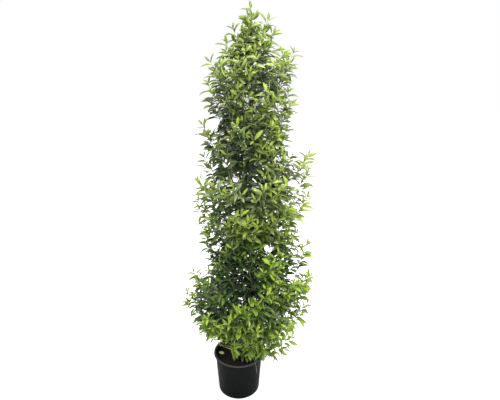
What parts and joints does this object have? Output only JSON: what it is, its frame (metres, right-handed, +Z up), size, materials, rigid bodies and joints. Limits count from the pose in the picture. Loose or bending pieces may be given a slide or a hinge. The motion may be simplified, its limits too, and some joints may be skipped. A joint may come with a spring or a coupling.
{
  "type": "potted laurel column",
  "caption": "Tall, loose column of evergreen laurel-type foliage on one slender stem, furnished with leaves down to its round black nursery pot.",
  "frame": {"origin": "middle of the pot's flat underside", "axes": "+Z up along the pot's axis, +X to the right and -Y towards the viewer as the plant is first seen"},
  "size_m": [0.9108, 0.8225, 2.5383],
  "materials": {
    "pot": "satin black, blow-moulded",
    "soil": "damp, crumbly",
    "bark": "smooth grey-brown bark",
    "foliage": "leathery, semi-gloss"
  },
  "bodies": {
    "root": {"pot": "pot", "soil": "soil", "main_stem": "bark", "bough_01": "bark", "bough_02": "bark", "bough_03": "bark", "bough_04": "bark", "bough_05": "bark", "bough_06": "bark", "bough_07": "bark", "bough_08": "bark", "bough_09": "bark", "bough_10": "bark", "bough_11": "bark", "bough_12": "bark", "bough_13": "bark", "bough_14": "bark", "bough_15": "bark", "bough_16": "bark", "bough_17": "bark", "bough_18": "bark", "bough_19": "bark", "foliage_01": "foliage", "foliage_02": "foliage", "foliage_03": "foliage", "foliage_04": "foliage", "foliage_05": "foliage", "foliage_06": "foliage", "foliage_07": "foliage", "foliage_08": "foliage", "foliage_09": "foliage", "foliage_10": "foliage", "foliage_11": "foliage", "foliage_12": "foliage", "foliage_13": "foliage", "foliage_14": "foliage", "foliage_15": "foliage", "foliage_16": "foliage", "foliage_17": "foliage", "foliage_18": "foliage", "foliage_19": "foliage", "leader_foliage": "foliage"}
  },
  "joints": []
}
